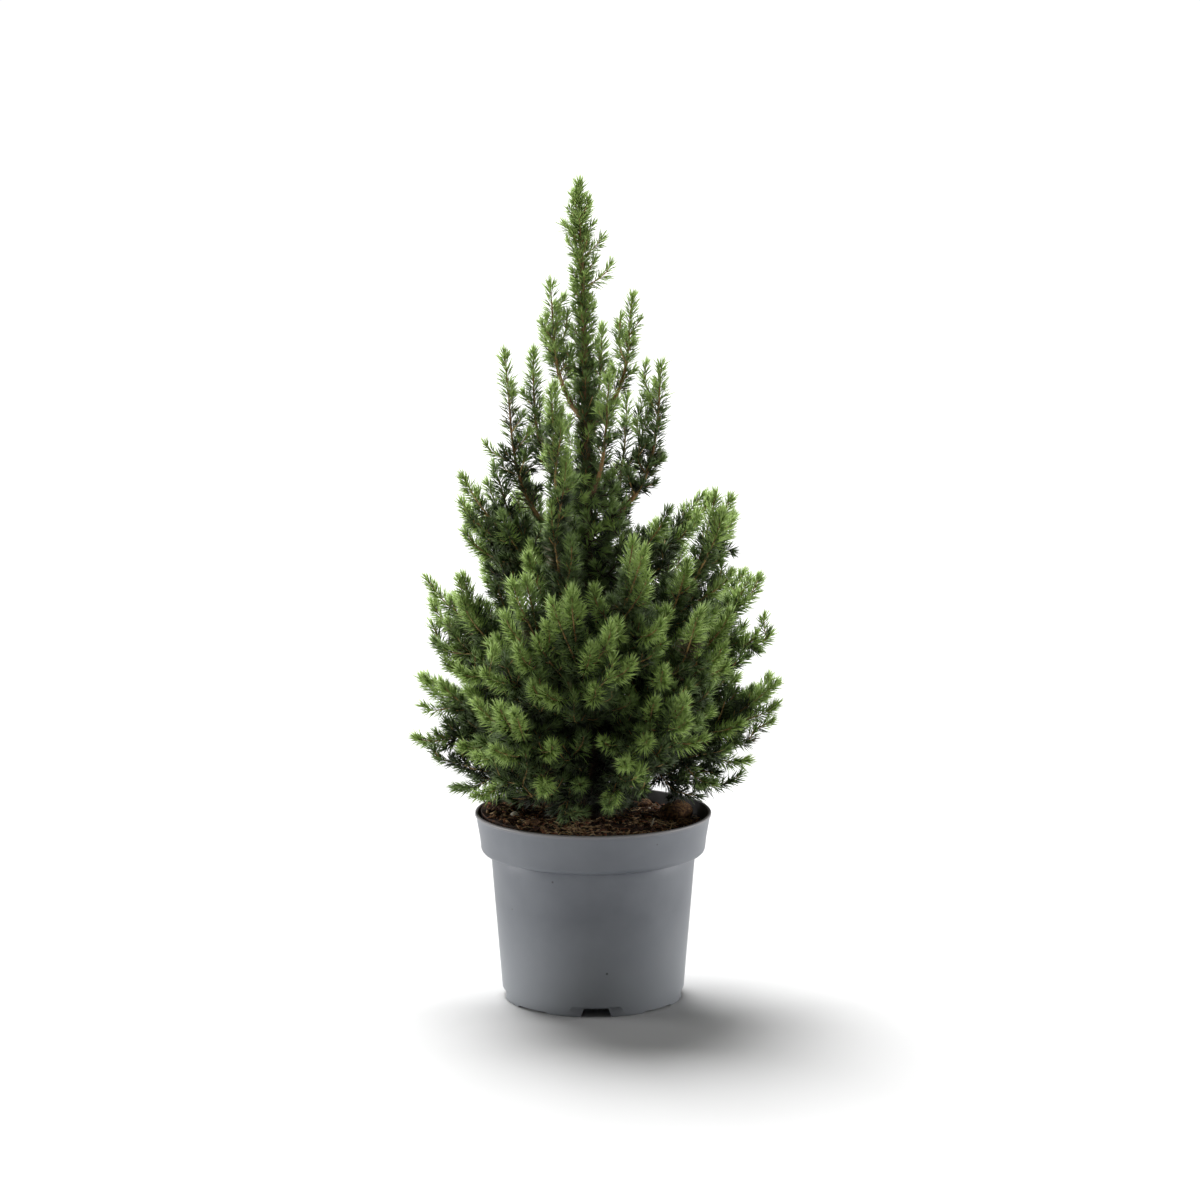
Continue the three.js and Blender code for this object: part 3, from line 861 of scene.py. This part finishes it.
def shoot_places(node):
    """Places over the outer side of a mass, each with the skin's normal and the way out of the crown."""
    points, faces = welded(node)
    spots, normals = surface_points(points, faces, 5 * MM)
    away = spots - np.array([trunk_middle(spot[2]) for spot in spots])
    away[:, 2] = 0
    away = units(away)
    outer = ((normals * away).sum(1) > 0.25) & (normals[:, 2] > -0.35)
    chosen = []
    for i in np.flatnonzero(outer):
        if all(np.linalg.norm(spots[i] - spots[j]) > SHOOT["apart"] for j in chosen):
            chosen.append(i)
    return spots[chosen], normals[chosen], away[chosen]


def grow_shoots(twigs, mass, node):
    """Long light shoots that stand out of a mass, upright on the crown and spreading at its foot."""
    low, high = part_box(node)
    if (low.z + high.z) / 2 > SHOOT["highest"]:
        return
    widest = lengths(welded(node)[0][:, :2]).max()
    mine = np.flatnonzero(twigs.mass == mass)
    for spot, normal, away in zip(*shoot_places(node)):
        climb = np.interp(spot[2], [0.17, 0.24, 0.34], [0.1, 0.7, 1.0])
        way = unit(climb * UP + (1.1 - 0.75 * climb) * away + 0.12 * RNG.normal(size=3))
        size = SHOOT["length"] * RNG.uniform(0.7, 1.25) * np.interp(spot[2], [0.17, 0.3], [0.65, 1.0])
        end = spot + normal * SHOOT["stand"] + way * 0.35 * size
        end[:2] *= min(1, widest / np.linalg.norm(end[:2]))
        end[2] = min(end[2], high.z - 4 * MM)
        foot = end - way * size - normal * 0.3 * size
        nearest = mine[np.argmin(lengths(twigs.points[mine] - foot))]
        start = twigs.points[nearest]
        count = max(6, int(np.linalg.norm(end - start) / STEP))
        line = hermite(start, unit(way + 0.4 * away), end, way, count)
        twigs.add(line, 2, mass, TIP_RADIUS + 0.012 * size, "shoot")


def trunk_line(low, high):
    """Points up the middle of the trunk."""
    return np.array([trunk_middle(height) for height in np.arange(low, high, STEP)])


def bough_line(node):
    """Three points down the middle of a bough: where it leaves the trunk, half way, and its end."""
    points, _ = welded(node)
    axis = trunk_middle(points[:, 2].mean())
    away = lengths(points[:, :2] - axis[:2])
    order = np.argsort(away)
    groups = (points[order[:5]], points[order[-11:-6]], points[order[-6:]])
    return [group.mean(0) for group in groups]


def grow_leader(twigs, number, places):
    """The clothed top of the trunk, up to the tip of the tree."""
    stem = trunk_line(CLOTHED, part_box("trunk")[1].z)
    top = places[np.argmax(places[:, 2])]
    twigs.add(np.vstack([stem, hermite(stem[-1], UP, top, UP, 5)[1:]]), 0, number, 0, "leader")
    grow_mass(twigs, number, places, 0.5, "outer", COVER)
    grow_tufts(twigs, number, 1.3 * TUFT["length"], 0.5 * TUFT["every"])


def grow_limb(twigs, number, name, places):
    """The main shoot of a limb, from its bough's end to its furthest tip, and all its side twigs."""
    _, middle, end = bough_line("bough_" + name)
    score = lengths(places - end) + 0.3 * (places[:, 2] - end[2])
    tip = places[np.argmax(score)]
    chord = unit(tip - end)
    count = max(5, int(np.linalg.norm(tip - end) / STEP))
    line = hermite(end, unit(end - middle), tip, arrival(tip, places, chord), count)
    twigs.add(line, 0, number, 1.9 * MM, "main")
    grow_shoots(twigs, number, "mass_" + name)
    grow_mass(twigs, number, places, 0.35 if chord[2] > 0.6 else 0.0, "outer", COVER)
    grow_tufts(twigs, number, TUFT["length"], TUFT["every"])


def inner_places():
    """Places round the trunk and between the boughs, which the masses leave empty."""
    low, high, reach = 158 * MM, 430 * MM, 62 * MM
    count = 3400
    height = RNG.uniform(low, high, count)
    bearing = RNG.uniform(0, FULL_TURN, count)
    width = np.interp(height, [low, 190 * MM, 330 * MM, high], [36 * MM, reach, 44 * MM, 20 * MM])
    away = width * np.sqrt(RNG.uniform(0.05, 1, count))
    middle = np.array([trunk_middle(h) for h in height])
    return middle + np.stack([away * np.cos(bearing), away * np.sin(bearing), np.zeros(count)], 1)


def grow_inside(twigs, number, names):
    """Short shaded twigs from the trunk and the bare boughs, in the heart of the crown."""
    twigs.add(trunk_line(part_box("trunk")[0].z + 10 * MM, CLOTHED + 60 * MM), 0, number, 0, "bare")
    for name in names:
        foot, middle, end = bough_line("bough_" + name)
        limb = hermite(foot, unit(middle - foot), end, unit(end - middle), 12)
        twigs.add(limb, 0, number, 0, "limb")
    grow_mass(twigs, number, inner_places(), -0.2, "inner", 9 * MM)


# ---- needles
def needle_mesh(bases, ways, sizes):
    """Slim closed needles: a base, a tip and a raised corner on each side, four faces each."""
    count = len(bases)
    helper = np.where(np.abs(ways[:, 2:]) < 0.9, UP, np.array([1.0, 0, 0]))
    side = units(np.cross(ways, helper))
    roll = RNG.random(count)[:, None] * FULL_TURN
    side = side * np.cos(roll) + np.cross(ways, side) * np.sin(roll)
    back = np.cross(ways, side)
    points = np.empty((count, 4, 3))
    points[:, 0] = bases
    points[:, 1] = bases + ways * sizes[:, None]
    middle = bases + ways * (sizes * 0.42)[:, None] + back * NEEDLE["thick"]
    points[:, 2] = middle + side * NEEDLE["width"] / 2
    points[:, 3] = middle - side * NEEDLE["width"] / 2
    pattern = np.array([[0, 1, 2], [1, 0, 3], [0, 2, 3], [2, 1, 3]])
    faces = (np.arange(count) * points.shape[1])[:, None, None] + pattern[None]
    return points.reshape(-1, 3), faces.reshape(-1, 3)


def needles_on(twig, density):
    """Bases, directions, lengths and distances from the tip of the needles on one twig."""
    line, ways, length = twig["line"], twig["ways"], twig["length"]
    steps = lengths(np.diff(line, axis=0))
    along = np.append(0, np.cumsum(steps))
    at_tip = NEEDLE["at_tip"]
    first = 0.08 * length
    airy = 1.0 if twig["kind"] == "leader" else np.interp(line[-1][2], [0.36, 0.5], [1.0, 0.8])
    thickness, needle_share = DRESS[twig["kind"]]
    count = int((length - first) * density * thickness * airy) + at_tip
    spots = first + (length - first) * RNG.random(count)
    spots[:at_tip] = length - RNG.random(at_tip) ** 1.5 * 4 * MM
    share = np.clip((length - spots) / (22 * MM), 0, 1)
    base = np.stack([np.interp(spots, along, line[:, i]) for i in range(3)], 1)
    way = units(np.stack([np.interp(spots, along, ways[:, i]) for i in range(3)], 1))
    turn = spots / NEEDLE_PITCH * GOLDEN_ANGLE + RNG.normal(size=count) * 0.4
    side, other = across(way)
    outward = side * np.cos(turn)[:, None] + other * np.sin(turn)[:, None]
    tilt = np.radians(24 + 30 * share**0.6 + RNG.normal(size=count) * 10)
    tilt[:at_tip] = np.radians(np.abs(RNG.normal(size=at_tip)) * 26)
    out = way * np.cos(tilt)[:, None] + outward * np.sin(tilt)[:, None]
    size = NEEDLE["length"] * needle_share * (0.84 + 0.16 * share)
    size *= 1 + RNG.normal(size=count) * 0.1
    return base, out, size, length - spots


class Crown:
    """How far out a place lies in the crown, from its heart (0) to its skin (1), and how free it stands;
    both set the needles' painted light and shade.
    """

    def __init__(self, places, twigs):
        self.crowd = KDTree(len(twigs.points))
        for i, point in enumerate(twigs.points):
            self.crowd.insert(point, i)
        self.crowd.balance()
        self.levels = np.arange(0.15, 0.66, 0.015)
        away = np.array([np.linalg.norm(p[:2] - trunk_middle(p[2])[:2]) for p in places])
        widths = []
        for level in self.levels:
            near = away[np.abs(places[:, 2] - level) < 15 * MM]
            widths.append(np.percentile(near, 90) if len(near) > 5 else 12 * MM)
        self.widths = np.array(widths)

    def depth(self, place):
        away = np.linalg.norm(place[:2] - trunk_middle(place[2])[:2])
        out = away / np.interp(place[2], self.levels, self.widths)
        # High places count as further out, so that the top of the crown is painted lighter.
        top = np.interp(place[2], [0.3, 0.36, 0.48], [0.0, 0.6, 0.95])
        return float(np.clip(max(out, top), 0, 1.1))

    def freedom(self, place):
        """From 0 for a tip deep among other twigs to 1 for one that stands clear of them."""
        # Many twig points nearby stand in for the shade they cast: painted shade.
        return float(np.interp(len(self.crowd.find_range(place, 20 * MM)), [10, 55], [1.0, 0.0]))


def spray_tone(crown, twig, spot, tip):
    """The tone of one spray, with light and shade painted in: lighter further out, clear of other twigs, on
    upright shoots, high up and at the tips, whose new growth is paler too, and darker low down.
    """
    place = twig["line"][spot]
    light = crown.depth(place)
    rise = float(twig["ways"][-1][2])
    free = crown.freedom(twig["line"][-1])
    # Painted light and shade: lighter far out in the crown, clear of other twigs and facing up; tips lighter
    # still.
    score = (0.36 * light**1.8 + 0.26 * free + 0.12 * rise) * (1.0 if tip else 0.72)
    score += (0.25 if tip else 0.05) + RNG.normal() * 0.08
    # Inner twigs are painted darker low down and lighter high up, as painted shade and light.
    if twig["kind"] in ("inner", "limb"):
        score += np.interp(place[2], [0.26, 0.38], [-0.16, 0.2])
    # Shoots that stand out of the crown are painted lighter, as painted light.
    if twig["kind"] == "shoot":
        score += 0.12
    # Painted shade low in the crown and painted light near its top.
    score += np.interp(place[2], [0.17, 0.28, 0.46, 0.56], [-0.16, 0.0, 0.0, 0.4])
    if RNG.random() < 0.1 and not tip:
        return len(NEEDLE_TONES) + int(RNG.integers(len(OLIVE_TONES)))
    return int(np.clip(score * len(NEEDLE_TONES), 0, len(NEEDLE_TONES) - 1))


def make_needles(twigs, number, name, density, crown, materials, node):
    """All the needles of one mass as one piece, each spray in its own plain colour."""
    dressed = []
    for twig in twigs.lines:
        if twig["mass"] != number or twig["kind"] == "bare":
            continue
        base, way, size, left = needles_on(twig, density)
        # Each spray's tone holds painted light and shade as well as the needles' age.
        old = spray_tone(crown, twig, len(twig["line"]) // 3, False)
        new = spray_tone(crown, twig, -1, True)
        tone = np.where(left < min(SPRAY, 0.6 * twig["length"]), new, old)
        if twig["kind"] in ("leader", "main", "shoot"):
            steps = (left // (SPRAY * 0.6)).astype(int)
            last = len(twig["line"]) - 1
            # The leader's nine top sprays and the last two of other long shoots take the lighter tip tone:
            # new growth and painted light.
            fresh_lit_sprays = 9 if twig["kind"] == "leader" else 2
            spots = [-1 - min(5 * i, last) for i in range(steps.max() + 1)]
            tones = [spray_tone(crown, twig, spot, i < fresh_lit_sprays) for i, spot in enumerate(spots)]
            tone = np.array(tones)[steps]
        dressed.append((base, way, size, tone))
    bases, ways, sizes, tones = (np.concatenate(column) for column in zip(*dressed))
    points, faces = needle_mesh(bases, ways, sizes)
    indices = np.repeat(tones, NEEDLE_FACES)
    piece = mesh_piece("needles_" + name, points, faces, materials, indices)
    declare(piece, [node] if node else ())


def make_stems(twigs, number, name, materials):
    """All the twigs of one mass as one piece: brown main shoots, orange-tan where young, and darkest inside,
    for older wood and as painted shade.
    """
    parts, tones = [], []
    for twig in twigs.lines:
        if twig["mass"] != number or not twig["radius"]:
            continue
        count = max(3, int(twig["length"] / (6 * MM)) + 1)
        pick = np.linspace(0, len(twig["line"]) - 1, count).round().astype(int)
        radii = np.linspace(twig["radius"], TIP_RADIUS * 0.8, count)
        points, faces = tube(twig["line"][pick], radii, 5)
        # Inner twigs take the darkest tone: older wood, and painted shade.
        tone = {"inner": 0, "main": 1}.get(twig["kind"], 2)
        parts.append((points, faces))
        tones.append(np.full(len(faces), tone))
    points, faces = gather(parts)
    piece = mesh_piece("stems_" + name, points, faces, materials, np.concatenate(tones))
    declare(piece)


def make_crown():
    """Grows every twig, then clothes each mass with its needles and stems."""
    masses = sorted(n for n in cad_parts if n.startswith("mass_"))
    names = [node.removeprefix("mass_") for node in masses]
    twigs = Twigs()
    everywhere = []
    for number, (node, name) in enumerate(zip(masses, names)):
        places = bud_places(node)
        everywhere.append(places)
        if name == "leader":
            grow_leader(twigs, number, places)
        else:
            grow_limb(twigs, number, name, places)
    grow_inside(twigs, len(masses), [name for name in names if name != "leader"])
    crown = Crown(np.vstack(everywhere), twigs)
    clothed = sum(twig["length"] * 0.92 * DRESS[twig["kind"]][0] for twig in twigs.lines)
    density = (NEEDLE["count"] - NEEDLE["at_tip"] * len(twigs.lines)) / clothed
    needle_set = plain_set(NEEDLE_TONES + OLIVE_TONES, 0.5)
    stem_set = plain_set(STEM_TONES, 0.7)
    for number, name in enumerate(names + ["heart"]):
        node = masses[number] if number < len(masses) else None
        make_needles(twigs, number, name, density, crown, needle_set, node)
        make_stems(twigs, number, name, stem_set)


# ---- stage
def make_camera():
    """A long lens in front of the plant, a little above it, looking slightly down."""
    data = bpy.data.cameras.new("camera")
    data.lens = 114.35
    down = 9.157
    camera = bpy.data.objects.new("camera", data)
    camera.location = (0.0055, -3.0, 0.807)
    camera.rotation_euler = (math.radians(90 - down), 0, 0)
    link(camera)
    bpy.context.scene.camera = camera


def make_floor():
    """Matt white paper, painted greyer round the pot and whiter further out to even out the lamps' light, so
    that the soft shadow fades into white.
    """
    paint, tree, shader = new_material("white_paper_floor", "#f2f2f2", 0.8)
    place = object_place(tree)
    away = add_node(tree, "VectorMath", {"operation": "LENGTH"}, {"Vector": place}).outputs["Value"]
    shade = ramp(tree, share_between(tree, away, 0.35, 1.6), [(0.0, "#cdcdcd"), (1.0, "#f2f2f2")])
    tree.links.new(shade, shader.inputs["Base Color"])
    bpy.ops.mesh.primitive_plane_add(size=40)
    floor = bpy.context.active_object
    floor.name = "floor"
    floor.data.materials.append(paint)


def make_world():
    """A white room that lights the plant softly and shows as plain white behind it."""
    world = bpy.data.worlds.new("studio")
    bpy.context.scene.world = world
    world.use_nodes = True
    tree = world.node_tree
    room = tree.nodes["Background"]
    room.inputs["Color"].default_value = (1, 1, 1, 1)
    room.inputs["Strength"].default_value = 0.085
    backdrop = add_node(tree, "Background", {"Strength": 1.3})
    seen = add_node(tree, "LightPath")
    both = add_node(tree, "MixShader", None, {"Fac": seen.outputs["Is Camera Ray"]})
    tree.links.new(room.outputs["Background"], both.inputs[1])
    tree.links.new(backdrop.outputs["Background"], both.inputs[2])
    tree.links.new(both.outputs["Shader"], tree.nodes["World Output"].inputs["Surface"])


def add_light(name, kind, place, target, power, **settings):
    lamp = bpy.data.lights.new(name, kind)
    lamp.energy = power
    for key, value in settings.items():
        setattr(lamp, key, value)
    holder = bpy.data.objects.new(name, lamp)
    holder.location = place
    way = Vector(target) - Vector(place)
    holder.rotation_euler = way.to_track_quat("-Z", "Y").to_euler()
    link(holder)


def make_lights():
    """A broad overhead light from behind on the left, and a tall softbox at each side."""
    middle = (0, 0, 0.3)
    add_light("overhead", "SUN", (-0.17, 0.46, 1.3), middle, 5.4, angle=math.radians(36))
    box = {"shape": "RECTANGLE", "size": 0.8, "size_y": 0.8}
    add_light("left_softbox", "AREA", (-1.6, 0.1, 0.34), middle, 13, **box)
    add_light("right_softbox", "AREA", (1.6, 0.1, 0.34), middle, 13, **box)


make_camera()
make_floor()
make_world()
make_lights()
bpy.context.scene.view_settings.view_transform = "Standard"
make_pot()
mix_piece = make_mix()
ground = surface_tree(mix_piece)
make_chips(ground)
make_fibres(ground)
make_pebbles(ground)
make_clods(ground)
make_sticks(ground)
make_wood()
make_crown()
